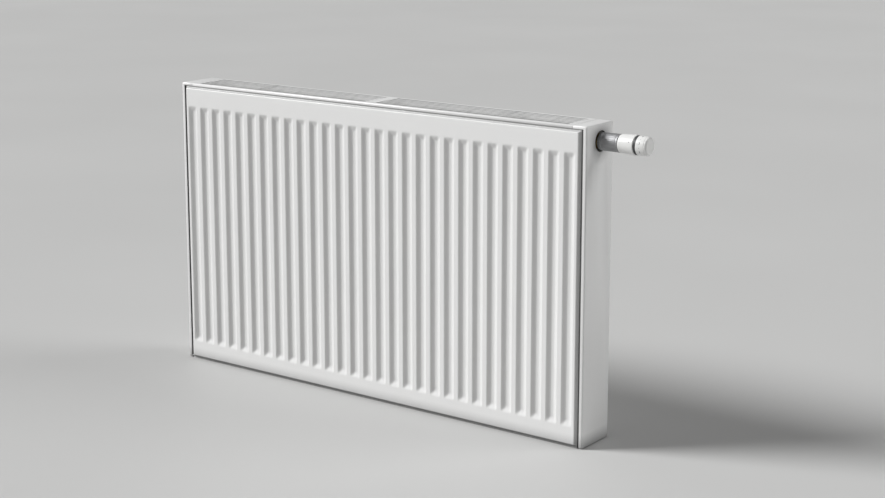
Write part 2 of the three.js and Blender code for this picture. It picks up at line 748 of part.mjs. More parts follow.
function valveInsert() {
  const clear = SPINDLE.radius + 0.4;
  const neckFace = NECK_END + 0.4;
  const gland = [
    [GLAND.from, clear],
    [GLAND.from, GLAND.radius],
    [neckFace, GLAND.radius],
    [neckFace, GLAND.flange],
    [GLAND.end, GLAND.flange],
    [GLAND.end, clear],
  ];
  const collar = ring(HOUSING.to + GAP, INSERT.hex - GAP, HOUSING.insertBore, INSERT.neck + 0.2);
  const packing = ring(INSERT.gland + GAP, GLAND.from - GAP, clear, GLAND.radius);
  const scale = ring(neckFace, PRESETTING.end, PRESETTING.inner, PRESETTING.outer);
  return [
    insertBody(),
    piece("valve_insert_o_ring", onValve(collar), rubber),
    piece("valve_spindle", onValve(spindleProfile()), steel),
    piece("valve_seal_disc", onValve(ring(DISC.from, DISC.to, clear, DISC.radius)), rubber),
    piece("valve_cone", onValve(ring(CONE.from, CONE.to, clear, CONE.radius)), brass),
    spring("valve_spring", VALVE_SPRING),
    piece("gland_nut", onValve(gland), brass),
    piece("gland_o_ring", onValve(packing), rubber),
    piece("presetting_ring", onValve(scale, FINE), darkPlastic),
  ];
}

// ---------------------------------------------------------------- thermostatic head

const BASE = {
  from: 516.8,
  foot: 12,
  shoulder: NUT.end + 0.4,
  pocket: NUT.end + 6,
  end: 574.8,
  bore: 8,
  stem: 13.2,
  stemBore: 11.2,
  stemFrom: 532,
  stemEnd: 590.5,
};
const RETAINER = { from: 517.2, to: 518.9, inner: 12.4, outer: 14 };
const STOP_RING = { from: BASE.end + GAP, to: DIAL_START - GAP, inner: 13.6, outer: 17.6 };
const RANGE_CLIP = { from: 560, to: 574.3, half: 2.5, inner: 13.7, outer: 15.1, degrees: 35 };
const CAPSULE = { from: 552, to: 584.2, radius: 10.7, pin: 3 };
const OVERTRAVEL_SPRING = { radius: 7, wire: 0.8, from: 585.5, to: 593.6, turns: 3 };

function unionNut() {
  const chamfer = 0.8;
  return onValve([
    [NUT.start, NUT.threadBore],
    [NUT.start, NUT.radius - chamfer],
    [NUT.start + chamfer, NUT.radius],
    [NUT.end - chamfer, NUT.radius],
    [NUT.end, NUT.radius - chamfer],
    [NUT.end, BASE.foot + GAP],
    [RETAINER.to + 1.1, BASE.foot + GAP],
    [RETAINER.to + 1.1, RETAINER.outer + GAP],
    [NECK_END + 2, RETAINER.outer + GAP],
    [NECK_END + 2, NUT.threadBore],
  ], FINE);
}

// The base is held by the nut at its foot. The dial turns on its stem.
function headBase() {
  return onValve([
    [BASE.from, BASE.bore],
    [BASE.from, BASE.foot],
    [BASE.shoulder, BASE.foot],
    [BASE.shoulder, 16.6],
    [BASE.shoulder + 2.1, 17.3],
    [BASE.end - 1, 18.9],
    [BASE.end, 18.4],
    [BASE.end, 16.4],
    [BASE.pocket, 15.4],
    [BASE.pocket, BASE.stem],
    [BASE.stemEnd, BASE.stem],
    [BASE.stemEnd, BASE.stemBore],
    [BASE.stemFrom, BASE.stemBore],
    [BASE.stemFrom, BASE.bore],
  ], FINE);
}

function dial() {
  const bore = BASE.stem + 0.5;
  return onValve([
    [DIAL_START, bore],
    [DIAL_START, 17.2],
    [DIAL_START + 0.8, 17.9],
    [DIAL_START + 10, 17.6],
    [DIAL_END, 17.3],
    [DIAL_END, bore + 0.2],
  ], FINE);
}

// The cap closes the dial's end, with a spigot inside the dial that backs the overtravel spring.
function dialCap() {
  const face = DIAL_END + GAP;
  return onValve([
    [DIAL_END - 1.5, 0],
    [DIAL_END - 1.5, 11.4],
    [DIAL_END - 4.5, 11.4],
    [DIAL_END - 4.5, 13.5],
    [face, 13.5],
    [face, 17.2],
    [face + 2.2, 17],
    [HEAD_END - 1.6, 16.2],
    [HEAD_END - 0.4, 14.8],
    [HEAD_END, 13.4],
    [HEAD_END, 0],
  ], FINE);
}

function sensorCapsule() {
  const start = SPINDLE.end + GAP;
  return onValve([
    [start, 0],
    [start, CAPSULE.pin],
    [CAPSULE.from, CAPSULE.pin],
    [CAPSULE.from + 2, CAPSULE.radius],
    [CAPSULE.to - 1, CAPSULE.radius],
    [CAPSULE.to, CAPSULE.radius - 1],
    [CAPSULE.to, 0],
  ]);
}

// A clip in the base's pocket that limits the dial's range.
function rangeClip(name, degrees) {
  const { from, to, half, inner, outer } = RANGE_CLIP;
  const clip = block([from, -half, -outer], [to, half, -inner]);
  return piece(name, clip.rotate([degrees, 0, 0]).translate([0, VALVE_Y, HEADER_Z]), darkPlastic);
}

function thermostaticHead() {
  const retainer = ring(RETAINER.from, RETAINER.to, RETAINER.inner, RETAINER.outer);
  const stopRing = ring(STOP_RING.from, STOP_RING.to, STOP_RING.inner, STOP_RING.outer);
  return [
    piece("union_nut", unionNut(), nickel),
    piece("retaining_ring", onValve(retainer), steel),
    piece("head_base", headBase(), whitePlastic),
    piece("stop_ring", onValve(stopRing, FINE), darkPlastic),
    rangeClip("range_clip_low", -RANGE_CLIP.degrees),
    rangeClip("range_clip_high", RANGE_CLIP.degrees),
    piece("dial", dial(), whitePlastic),
    piece("dial_cap", dialCap(), whitePlastic),
    piece("sensor_capsule", sensorCapsule(), aluminium),
    spring("overtravel_spring", OVERTRAVEL_SPRING),
  ];
}

// ---------------------------------------------------------------- the radiator

const radiator = new THREE.Group();
radiator.add(
  ...panels(),
  ...convectors(),
  ...hangingLugs(),
  ...casing(),
  ...fittings(),
  valveHousing(),
  ...valveInsert(),
  ...thermostaticHead(),
);

export default radiator;
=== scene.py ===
"""A wall-hung steel panel radiator with a thermostatic valve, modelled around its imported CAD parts."""

import json
import math

import bmesh
import bpy
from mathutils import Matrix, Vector


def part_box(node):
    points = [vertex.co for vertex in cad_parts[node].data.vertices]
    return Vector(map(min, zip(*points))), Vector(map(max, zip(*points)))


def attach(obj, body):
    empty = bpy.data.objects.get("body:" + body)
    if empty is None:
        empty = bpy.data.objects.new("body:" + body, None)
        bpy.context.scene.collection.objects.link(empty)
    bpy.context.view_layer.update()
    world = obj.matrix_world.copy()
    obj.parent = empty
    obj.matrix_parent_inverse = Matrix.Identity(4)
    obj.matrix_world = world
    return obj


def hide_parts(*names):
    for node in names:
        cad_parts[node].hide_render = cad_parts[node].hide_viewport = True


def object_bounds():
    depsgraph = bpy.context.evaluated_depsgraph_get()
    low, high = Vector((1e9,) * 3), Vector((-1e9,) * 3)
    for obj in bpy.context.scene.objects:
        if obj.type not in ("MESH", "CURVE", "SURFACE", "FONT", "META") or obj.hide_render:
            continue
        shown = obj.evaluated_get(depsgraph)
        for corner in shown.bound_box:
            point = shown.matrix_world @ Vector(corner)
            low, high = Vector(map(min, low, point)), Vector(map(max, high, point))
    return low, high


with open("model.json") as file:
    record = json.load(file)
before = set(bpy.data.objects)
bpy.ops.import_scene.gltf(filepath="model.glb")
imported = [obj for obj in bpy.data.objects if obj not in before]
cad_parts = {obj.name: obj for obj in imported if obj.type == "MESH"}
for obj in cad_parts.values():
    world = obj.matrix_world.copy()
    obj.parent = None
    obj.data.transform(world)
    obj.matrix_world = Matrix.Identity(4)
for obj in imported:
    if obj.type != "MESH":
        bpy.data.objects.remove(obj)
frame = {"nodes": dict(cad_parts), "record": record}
cad_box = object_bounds()

MM = 0.001
SIDES = 96  # of the turned pieces
NODES = frame["nodes"]


def span(node):
    """Lowest and highest corner of a CAD node, in millimetres."""
    low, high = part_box(node)
    return low / MM, high / MM


# ---------------------------------------------------------------- materials


def shader(name, colour, roughness, metallic=0.0):
    """A material whose output is one Principled shader, and the means to add nodes to it."""
    made = bpy.data.materials.new(name)
    made.use_nodes = True
    made.diffuse_color = (*colour, 1)
    principled = made.node_tree.nodes["Principled BSDF"]
    principled.inputs["Base Color"].default_value = (*colour, 1)
    principled.inputs["Roughness"].default_value = roughness
    principled.inputs["Metallic"].default_value = metallic
    return made, principled


def node(made, kind, inputs=(), **settings):
    """Adds a node. Each input is a value, or a (node, output name) pair to link from."""
    added = made.node_tree.nodes.new(kind)
    for key, value in settings.items():
        setattr(added, key, value)
    for socket, value in dict(inputs).items():
        if isinstance(value, tuple) and isinstance(value[0], bpy.types.Node):
            made.node_tree.links.new(value[0].outputs[value[1]], added.inputs[socket])
        else:
            added.inputs[socket].default_value = value
    return added


def link(made, source, output, target, socket):
    made.node_tree.links.new(source.outputs[output], target.inputs[socket])


def noise(made, size_mm, detail=2.0, stretch=(1, 1, 1)):
    """Noise in the row frame with features of about that size."""
    place = node(made, "ShaderNodeTexCoord")
    mapping = node(made, "ShaderNodeMapping", {"Vector": (place, "Object"), "Scale": stretch})
    return node(
        made,
        "ShaderNodeTexNoise",
        {"Vector": (mapping, "Vector"), "Scale": 1 / (size_mm * MM), "Detail": detail},
    )


def spread(made, source, output, low, high):
    """The source's 0.3 to 0.7 stretched over low to high."""
    return node(
        made,
        "ShaderNodeMapRange",
        {"Value": (source, output), "From Min": 0.3, "From Max": 0.7, "To Min": low, "To Max": high},
    )


def tint(made, principled, source, output, dark, light, painted_shade_mm=0):
    """Base colour that drifts between two colours, with painted shade darkening it in hollows and
    creases within that distance.
    """
    ramp = node(made, "ShaderNodeValToRGB", {"Fac": (source, output)})
    ramp.color_ramp.elements[0].position = 0.3
    ramp.color_ramp.elements[1].position = 0.7
    ramp.color_ramp.elements[0].color = (*dark, 1)
    ramp.color_ramp.elements[1].color = (*light, 1)
    # Painted shade: an ambient occlusion node darkens the base colour wherever other surfaces lie within
    # that distance.
    if painted_shade_mm:
        inputs = {"Color": (ramp, "Color"), "Distance": painted_shade_mm * MM}
        ramp = node(made, "ShaderNodeAmbientOcclusion", inputs, samples=8)
    link(made, ramp, "Color", principled, "Base Color")


def relief(made, principled, heights, distance_mm):
    """Bumps added one on another. Each height is (node, output name, strength)."""
    below = None
    for source, output, strength in heights:
        inputs = {"Height": (source, output), "Strength": strength, "Distance": distance_mm * MM}
        if below:
            inputs["Normal"] = (below, "Normal")
        below = node(made, "ShaderNodeBump", inputs)
    link(made, below, "Normal", principled, "Normal")


def enamel(name, light, dark, roughness, peel):
    """Baked powder coat: a soft gloss over the faint orange peel of the sprayed paint."""
    made, principled = shader(name, light, roughness[0])
    drift = noise(made, 120)
    # The 28 mm gives painted shade in the grooves, along the seams and round the valve hole.
    tint(made, principled, drift, "Fac", dark, light, 28)
    gloss = spread(made, noise(made, 25), "Fac", *roughness)
    link(made, gloss, "Result", principled, "Roughness")
    relief(made, principled, [(noise(made, 6), "Fac", peel)], 0.1)
    principled.inputs["Coat Weight"].default_value = 0.15
    principled.inputs["Coat Roughness"].default_value = 0.12
    return made


def turned_metal(name, light, dark, roughness, line_mm=0.35, axis=0):
    """Turned and plated metal, with fine tool marks round its axis and patches of duller plating."""
    made, principled = shader(name, light, roughness[0], 1.0)
    stretch = [0.02, 0.02, 0.02]
    stretch[axis] = 1
    marks = noise(made, line_mm, 1.0, stretch)
    tint(made, principled, noise(made, 9), "Fac", dark, light)
    gloss = spread(made, noise(made, 4), "Fac", *roughness)
    link(made, gloss, "Result", principled, "Roughness")
    relief(made, principled, [(marks, "Fac", 0.25)], 0.05)
    return made


def zinc(name):
    """Zinc-plated strip, with the faint crystals of the plating."""
    made, principled = shader(name, (0.62, 0.63, 0.64), 0.38, 1.0)
    place = node(made, "ShaderNodeTexCoord")
    crystals = node(
        made, "ShaderNodeTexVoronoi", {"Vector": (place, "Object"), "Scale": 1 / (3 * MM)}
    )
    tint(made, principled, crystals, "Distance", (0.5, 0.51, 0.53), (0.68, 0.69, 0.7))
    gloss = spread(made, noise(made, 3), "Fac", 0.3, 0.48)
    link(made, gloss, "Result", principled, "Roughness")
    relief(made, principled, [(noise(made, 0.8), "Fac", 0.1)], 0.05)
    return made


def moulded(name, light, dark, roughness, grain_mm=0.35, grain=0.2):
    """Moulded plastic with the fine spark-eroded grain of its mould."""
    made, principled = shader(name, light, roughness[0])
    tint(made, principled, noise(made, 14), "Fac", dark, light)
    gloss = spread(made, noise(made, 6), "Fac", *roughness)
    link(made, gloss, "Result", principled, "Roughness")
    relief(made, principled, [(noise(made, grain_mm, 3.0), "Fac", grain)], 0.05)
    return made


def floor_paint():
    made, principled = shader("floor_paint", (0.55, 0.55, 0.545), 0.6)
    tint(made, principled, noise(made, 900), "Fac", (0.54, 0.54, 0.535), (0.56, 0.56, 0.555))
    return made


WHITE = (0.86, 0.86, 0.855)
MATERIALS = {
    "enamel": enamel("enamel", WHITE, (0.845, 0.845, 0.84), (0.3, 0.38), 0.05),
    "enamel_inside": enamel("enamel_inside", (0.8, 0.8, 0.79), (0.76, 0.76, 0.75), (0.45, 0.6), 0.1),
    "nickel": turned_metal("nickel", (0.42, 0.423, 0.43), (0.35, 0.353, 0.36), (0.56, 0.66)),
    "steel": zinc("steel"),
    # Brass tint, darkened well below real brass as painted shade, so the brass seen through the cover's
    # valve hole reads as the shade inside it.
    "brass": turned_metal("brass", (0.36, 0.27, 0.13), (0.27, 0.195, 0.09), (0.32, 0.5)),
    "aluminium": turned_metal("aluminium", (0.78, 0.78, 0.79), (0.7, 0.7, 0.71), (0.3, 0.45)),
    "rubber": moulded("rubber", (0.035, 0.036, 0.037), (0.025, 0.025, 0.026), (0.55, 0.75), 0.6, 0.3),
    "white_plastic": moulded("white_plastic", (0.84, 0.84, 0.83), (0.82, 0.82, 0.81), (0.3, 0.4)),
    "dark_plastic": moulded("dark_plastic", (0.06, 0.062, 0.065), (0.045, 0.046, 0.05), (0.4, 0.55)),
}
INK = moulded("ink", (0.09, 0.09, 0.095), (0.07, 0.07, 0.075), (0.4, 0.5))


# ---------------------------------------------------------------- mesh tools


def add(name, verts, faces, slot, sharp=32):
    """A mesh object from points in millimetres, smooth but for edges sharper than that many degrees."""
    mesh = bpy.data.meshes.new(name)
    mesh.from_pydata([Vector(v) * MM for v in verts], [], faces)
    made = bpy.data.objects.new(name, mesh)
    bpy.context.scene.collection.objects.link(made)
    mesh.materials.append(MATERIALS[slot] if slot in MATERIALS else slot)
    tidy(mesh, sharp)
    return made


def tidy(mesh, sharp=32):
    """Faces outwards, smooth shading and sharp edges by angle."""
    shape = bmesh.new()
    shape.from_mesh(mesh)
    bmesh.ops.recalc_face_normals(shape, faces=shape.faces)
    shape.to_mesh(mesh)
    shape.free()
    mesh.shade_smooth()
    mesh.set_sharp_from_angle(angle=math.radians(sharp))


def place(made, body, slot, *nodes):
    """The piece moves with its body and stands for those CAD nodes, which it hides. The slot is not
    used.
    """
    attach(made, body)
    if nodes:
        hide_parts(*nodes)
    return made


def settle(made, sharp=32):
    """Applies the modifiers."""
    depsgraph = bpy.context.evaluated_depsgraph_get()
    mesh = bpy.data.meshes.new_from_object(made.evaluated_get(depsgraph))
    made.modifiers.clear()
    made.data = mesh
    tidy(mesh, sharp)
    return made


def combine(made, tools, operation):
    """Cuts the tools from the object or joins them to it. The tools are used up."""
    for tool in tools:
        step = made.modifiers.new("combine", "BOOLEAN")
        step.operation = operation
        step.solver = "EXACT"
        step.object = tool
    settle(made)
    for tool in tools:
        bpy.data.objects.remove(tool)
    return made


def cut(made, *tools):
    return combine(made, tools, "DIFFERENCE")


def join(made, *tools):
    return combine(made, tools, "UNION")


def ease(made, width, segments=2, limit=38):
    """Rounds the edges sharper than limit degrees."""
    step = made.modifiers.new("ease", "BEVEL")
    step.limit_method = "ANGLE"
    step.angle_limit = math.radians(limit)
    step.width = width * MM
    step.segments = segments
    step.use_clamp_overlap = True
    step.harden_normals = False
    return settle(made)


def softened(points, radius, closed, steps=4):
    """The outline with its corners rounded to that radius where they have room."""
    count = len(points)
    made = []
    for i, corner in enumerate(points):
        here = Vector(corner)
        if not closed and i in (0, count - 1):
            made.append(here)
            continue
        before = Vector(points[i - 1]) - here
        after = Vector(points[(i + 1) % count]) - here
        reach = min(radius, before.length * 0.48, after.length * 0.48)
        if reach < 0.001 or before.angle(after) > math.radians(172):
            made.append(here)
            continue
        start = here + before.normalized() * reach
        end = here + after.normalized() * reach
        for step in range(steps + 1):
            t = step / steps
            made.append(start * (1 - t) ** 2 + here * (2 * t * (1 - t)) + end * t**2)
    return made


def turned(name, profile, centre, slot, axis="x", radius=0.4, sides=SIDES, ripple=None, sharp=32):
    """A turned piece. The profile is (distance along the axis, radius) in millimetres. It runs from
    the axis to the axis, or closes on itself. ripple gives a change of radius at a place and turn."""
    closed = all(r > 0 for _, r in profile)
    outline = softened(profile, radius, closed)
    verts, rings = [], []
    for along, r in outline:
        if r < 1e-6:
            rings.append([len(verts)])
            verts.append(on_axis(along, 0, 0, centre, axis))
            continue
        rings.append([len(verts) + i for i in range(sides)])
        for i in range(sides):
            turn = 2 * math.pi * i / sides
            r_here = r + (ripple(along, r, turn) if ripple else 0)
            verts.append(on_axis(along, r_here * math.cos(turn), r_here * math.sin(turn), centre, axis))
    pairs = list(zip(rings, rings[1:]))
    if closed:
        pairs.append((rings[-1], rings[0]))
    faces = []
    for a, b in pairs:
        for i in range(sides):
            j = (i + 1) % sides
            face = [a[i % len(a)], a[j % len(a)], b[j % len(b)], b[i % len(b)]]
            corners = list(dict.fromkeys(face))
            if len(corners) > 2:
                faces.append(corners)
    return add(name, verts, faces, slot, sharp)


def on_axis(along, a, b, centre, axis):
    """A point at a distance along an axis through the centre, and a and b off it."""
    x, y, z = centre
    return {
        "x": (along, y + a, z + b),
        "y": (x + a, along, z + b),
        "z": (x + a, y + b, along),
    }[axis]


def extruded(name, outline, axis, start, end, slot, sharp=32):
    """An outline in the plane across the axis, in X, Y, Z order, drawn out along the axis."""
    count = len(outline)
    verts = []
    for along in (start, end):
        for a, b in outline:
            verts.append({"x": (along, a, b), "y": (a, along, b), "z": (a, b, along)}[axis])
    faces = [list(range(count)), list(range(2 * count - 1, count - 1, -1))]
    for i in range(count):
        j = (i + 1) % count
        faces.append([i, j, count + j, count + i])
    return add(name, verts, faces, slot, sharp)


def strip(line, thickness, radius, steps=4):
    """The outline of a bent strip: the line and its copy on the left, with rounded bends."""
    left = []
    for i, point in enumerate(line):
        here = Vector(point)
        before = (here - Vector(line[i - 1])).normalized() if i else None
        after = (Vector(line[i + 1]) - here).normalized() if i < len(line) - 1 else None
        before, after = before or after, after or before
        normals = [Vector((-d.y, d.x)) for d in (before, after)]
        mitre = (normals[0] + normals[1]) / (1 + normals[0].dot(normals[1]))
        left.append(here + mitre * thickness)
    return softened(line, radius, False, steps) + softened(left, radius, False, steps)[::-1]


def box(name, low, high, slot="enamel"):
    """A plain block, used to cut or join other shapes."""
    (x0, y0, z0), (x1, y1, z1) = low, high
    return extruded(name, [(x0, y0), (x1, y0), (x1, y1), (x0, y1)], "z", z0, z1, slot)


def rounded_box(name, low, high, chosen, radius, segments, slot="enamel"):
    """A block with the chosen edges rounded. chosen takes an edge's middle, from -1 to 1 each way."""
    made = box(name, low, high, slot)
    low, high = Vector(low), Vector(high)
    shape = bmesh.new()
    shape.from_mesh(made.data)
    edges = []
    for edge in shape.edges:
        middle = (edge.verts[0].co + edge.verts[1].co) / 2 / MM
        place = [
            round(2 * (m - a) / (b - a) - 1) for m, a, b in zip(middle, low, high)
        ]
        if chosen(*place):
            edges.append(edge)
    bmesh.ops.bevel(
        shape, geom=edges, offset=radius * MM, segments=segments, profile=0.5, affect="EDGES"
    )
    shape.to_mesh(made.data)
    shape.free()
    tidy(made.data)
    return made


def swept(name, points, radius, slot, sides=32):
    """A round tube along points in millimetres, closed at its ends."""
    verts, faces = [], []
    count = len(points)
    for i, point in enumerate(points):
        here = Vector(point)
        ahead = Vector(points[min(i + 1, count - 1)]) - Vector(points[max(i - 1, 0)])
        ahead.normalize()
        side = ahead.cross(Vector((0, 1, 0)) if abs(ahead.y) < 0.9 else Vector((1, 0, 0)))
        side.normalize()
        up = side.cross(ahead)
        for j in range(sides):
            turn = 2 * math.pi * j / sides
            verts.append(here + radius * (math.cos(turn) * side + math.sin(turn) * up))
    for i in range(count - 1):
        for j in range(sides):
            k = (j + 1) % sides
            faces.append([i * sides + j, i * sides + k, (i + 1) * sides + k, (i + 1) * sides + j])
    faces.append(list(range(sides)))
    faces.append(list(range((count - 1) * sides, count * sides)))
    return add(name, verts, faces, slot)


# ---------------------------------------------------------------- panels

SHEET = 1.25
PRESS = 6.0
RIBS = 30
FRONT_LOW, FRONT_HIGH = span("front_panel_front_sheet")
REAR_LOW, REAR_HIGH = span("rear_panel_back_sheet")
COVER_LOW, COVER_HIGH = span("right_side_cover")
PITCH = 2 * COVER_HIGH.x / RIBS
BULGE_EDGE = {"side": 5.5, "top": 9.4, "bottom": 7.5}  # flat face to flange edge
BULGE_RUN = {"side": 3.5, "top": 2.6, "bottom": 3.6}
GROOVE_HALF = 12.6
GROOVE_WALL = 9.6
GROOVE_EASE = 0.14
GROOVE_TOP = FRONT_HIGH.z - 45
GROOVE_BOTTOM = FRONT_LOW.z + 39
GROOVE_END_RUN = 12.0


def ramp(t, ease_share=0.28):
    """0 before t = 0, 1 after t = 1, straight between, with its two bends eased."""
    e = ease_share
    if t <= -e:
        return 0.0
    if t < e:
        return (t + e) ** 2 / (4 * e)
    if t <= 1 - e:
        return t
    if t < 1 + e:
        return 1 - (1 + e - t) ** 2 / (4 * e)
    return 1.0


def smaller(a, b, blend=0.25):
    """The smaller of two, with the crease between them blended."""
    h = max(blend - abs(a - b), 0) / blend
    return min(a, b) - h * h * blend / 4


def press_depth(x, z, groove_part):
    """How far a point of the sheet lies behind the flat face."""
    side = ramp((abs(x) - (FRONT_HIGH.x - BULGE_EDGE["side"])) / BULGE_RUN["side"])
    top = ramp((z - (FRONT_HIGH.z - BULGE_EDGE["top"])) / BULGE_RUN["top"])
    bottom = ramp((FRONT_LOW.z + BULGE_EDGE["bottom"] - z) / BULGE_RUN["bottom"])
    edge = 1 - smaller(1 - side, smaller(1 - top, 1 - bottom))
    top_end = ramp((GROOVE_TOP - z) / GROOVE_END_RUN)
    bottom_end = ramp((z - GROOVE_BOTTOM) / GROOVE_END_RUN)
    groove = smaller(groove_part, smaller(top_end, bottom_end))
    return PRESS * max(edge, groove)


def grid_lines(fixed, around, offsets):
    """Sorted coordinates: the fixed ones, and offsets about each centre."""
    lines = set(round(v, 4) for v in fixed)
    for centre in around:
        lines.update(round(centre + o, 4) for o in offsets)
    return sorted(lines)


def pressed_sheet(name, face_y, inwards):
    """The ribbed sheet. inwards is +1 where the panel's inside is towards +Y."""
    x_edge = FRONT_HIGH.x
    side = BULGE_EDGE["side"]
    edge_steps = [0, 1.2, 2, 2.6, 3.2, 3.9, 4.7, 5.5, 6.5]
    groove_steps = [0, 1.66, 2.3, 3, 3.7, 4.34, 7.8, 11.26, 11.9, 12.6, 13.3, 13.94, PITCH / 2]
    x_fixed = [s * (x_edge - step) for s in (-1, 1) for step in edge_steps]
    middles = [(groove - RIBS / 2) * PITCH for groove in range(1, RIBS)]
    xs = grid_lines(x_fixed, middles, [s * step for s in (-1, 1) for step in groove_steps])
    xs = [x for x in xs if abs(x) <= x_edge]
    end_steps = [-3.4, -2.2, -1, 0.4, 2, 4, 6, 8, 10, 11.6, 13, 14.2, 15.4]
    z_fixed = [FRONT_HIGH.z - step for step in (0, 3, 6.1, 6.5, 6.8, 7.2, 8.1, 9, 9.4, 9.8, 10.2, 24)]
    z_fixed += [FRONT_LOW.z + step for step in (0, 2.4, 2.9, 3.4, 3.9, 4.4, 5.7, 7, 7.5, 8, 8.5, 24)]
    z_fixed += [GROOVE_TOP - step for step in end_steps]
    z_fixed += [GROOVE_BOTTOM + step for step in end_steps]
    z_fixed += [-150, 0, 150]
    zs = grid_lines(z_fixed, [], [])
    parts = []
    for x in xs:
        nearest = min(middles, key=lambda m: abs(x - m))
        parts.append(ramp((GROOVE_HALF - abs(x - nearest)) / GROOVE_WALL, GROOVE_EASE))
    columns, rows = len(xs), len(zs)
    verts = []
    for layer in (0, SHEET):
        for z in zs:
            for x, part in zip(xs, parts):
                verts.append((x, face_y + inwards * (press_depth(x, z, part) + layer), z))
    faces = []
    back = columns * rows
    for r in range(rows - 1):
        for c in range(columns - 1):
            a, b = r * columns + c, (r + 1) * columns + c
            faces.append([a, a + 1, b + 1, b])
            faces.append([back + a, back + b, back + b + 1, back + a + 1])
    rim = [c for c in range(columns)]
    rim += [r * columns + columns - 1 for r in range(1, rows)]
    rim += [(rows - 1) * columns + c for c in range(columns - 2, -1, -1)]
    rim += [r * columns for r in range(rows - 2, 0, -1)]
    for i, a in enumerate(rim):
        b = rim[(i + 1) % len(rim)]
        faces.append([a, b, back + b, back + a])
    return add(name, verts, faces, "enamel", 50)


def panels():
    front = pressed_sheet("front_sheet_pressed", FRONT_LOW.y, 1)
    place(front, "radiator", "enamel", "front_panel_front_sheet")
    rear = pressed_sheet("rear_sheet_pressed", REAR_HIGH.y, -1)
    place(rear, "radiator", "enamel", "rear_panel_back_sheet")


def convector(node_name, weld_y, towards):
    """A strip folded to and fro, with round bends."""
    low, high = span(node_name)
    depth = high.y - low.y
    thickness, base, crest = 0.6, 10, 16
    folds = round((high.x - low.x - base) / PITCH)
    first = low.x + base / 2
    line = []
    for fold in range(folds + 1):
        middle = first + fold * PITCH
        line += [(middle - base / 2, 0), (middle + base / 2, 0)]
        if fold < folds:
            peak = middle + PITCH / 2
            line += [(peak - crest / 2, depth - thickness), (peak + crest / 2, depth - thickness)]
    outline = strip(line, thickness, 2.2, 3)
    placed = [(x, weld_y + towards * y) for x, y in outline]
    made = extruded(node_name + "_folded", placed, "z", low.z, high.z, "enamel_inside", 50)
    return place(made, "radiator", "enamel_inside", node_name)


def convectors():
    convector("front_convector", span("front_convector")[0].y, 1)
    convector("rear_convector", span("rear_convector")[1].y, -1)


def hanging_lugs():
    """Hat-shaped brackets with rounded bends and edges."""
    thickness = 2.5
    for name in [n for n in NODES if n.startswith("hanging_lug")]:
        low, high = span(name)
        middle = (low.x + high.x) / 2
        foot, bridge = (high.x - low.x) / 2, 10
        line = [
            (middle - foot, low.y),
            (middle - bridge, low.y),
            (middle - bridge, high.y - thickness),
            (middle + bridge, high.y - thickness),
            (middle + bridge, low.y),
            (middle + foot, low.y),
        ]
        outline = strip(line, thickness, 1.6)
        made = extruded(name + "_bent", outline, "z", low.z, high.z, "enamel", 40)
        ease(made, 0.4, limit=60)
        place(made, "radiator", "enamel", name)


# ---------------------------------------------------------------- casing

CASING = 1.2
CASING_ROUND = 3
ROUND_STEPS = 5


def slot_tool(x0, x1, y0, y1, z0, z1):
    """A long slot with half-round ends."""
    radius = (y1 - y0) / 2
    middle = (y0 + y1) / 2
    outline = []
    for x, start in ((x1 - radius, -90), (x0 + radius, 90)):
        for step in range(9):
            angle = math.radians(start + step * 22.5)
            outline.append((x + radius * math.cos(angle), middle + radius * math.sin(angle)))
    return extruded("slot_tool", outline, "z", z0, z1, "enamel")


def top_grille():
    low, high = span("top_grille")
    edge = lambda x, y, z: z == 1 and abs(y) == 1
    made = rounded_box("grille_pressed", low, high, edge, CASING_ROUND, ROUND_STEPS)
    inner_low = (low.x - 5, low.y + CASING, low.z - 5)
    inner_high = (high.x + 5, high.y - CASING, high.z - CASING)
    inner = rounded_box("inner", inner_low, inner_high, edge, CASING_ROUND - CASING, ROUND_STEPS)
    cut(made, inner)
    strap, slot_end, slot_width, slots, margin = 26, 14, 8, 6, 9
    web_pitch, web, web_top = 98, 2.5, high.z - 0.6
    y0, y1 = low.y + margin, high.y - margin
    length = high.x - slot_end - strap / 2
    webs = []
    for number in range(1, int(length / web_pitch) + 1):
        for side in (-1, 1):
            x = side * (strap / 2 + number * web_pitch)
            webs.append(box("web", (x - web / 2, y0, web_top - 4.4), (x + web / 2, y1, web_top)))
    join(made, *webs)
    tools = []
    step = (y1 - y0 - slot_width) / (slots - 1)
    for number in range(slots):
        y = y0 + number * step
        for x0, x1 in ((strap / 2, strap / 2 + length), (-strap / 2 - length, -strap / 2)):
            tools.append(slot_tool(x0, x1, y, y + slot_width, high.z - 2.4, high.z + 2))
    cut(made, *tools)
    ease(made, 0.3)
    place(made, "radiator", "enamel", "top_grille")


def side_cover(name, node_name, side, hole_radius, hole_centre):
    low, high = span(node_name)
    x_in, x_out = (low.x, high.x) if side > 0 else (high.x, low.x)
    lip = 7.7
    grille_lip = span("top_grille")[0].z

    def between(xa, xb, y0, y1, z0, z1, label="tool", radius=None):
        corner_a, corner_b = (min(xa, xb), y0, z0), (max(xa, xb), y1, z1)
        if radius is None:
            return box(label, corner_a, corner_b)
        edge = lambda x, y, z: (x == side and (abs(y) == 1 or z == 1)) or (z == 1 and abs(y) == 1)
        return rounded_box(label, corner_a, corner_b, edge, radius, ROUND_STEPS)

    made = between(x_in, x_out, low.y, high.y, low.z, high.z, name, CASING_ROUND)
    inner = between(
        x_in - side * 5,
        x_out - side * CASING,
        low.y + CASING,
        high.y - CASING,
        low.z - 5,
        high.z - CASING,
        "inner",
        CASING_ROUND - CASING,
    )
    window = between(
        x_in - side * 5, x_out - side * lip, low.y - 5, high.y + 5, low.z - 5, grille_lip
    )
    ends = sorted((x_out - side * lip, x_out + side * 5))
    profile = [(ends[0], 0), (ends[0], hole_radius), (ends[1], hole_radius), (ends[1], 0)]
    hole = turned("hole", profile, hole_centre, "enamel", radius=0)
    cut(made, inner, window, hole)
    ease(made, 0.3)
    return place(made, "radiator", "enamel", node_name)


def centre_of(node_name):
    low, high = span(node_name)
    return (low + high) / 2


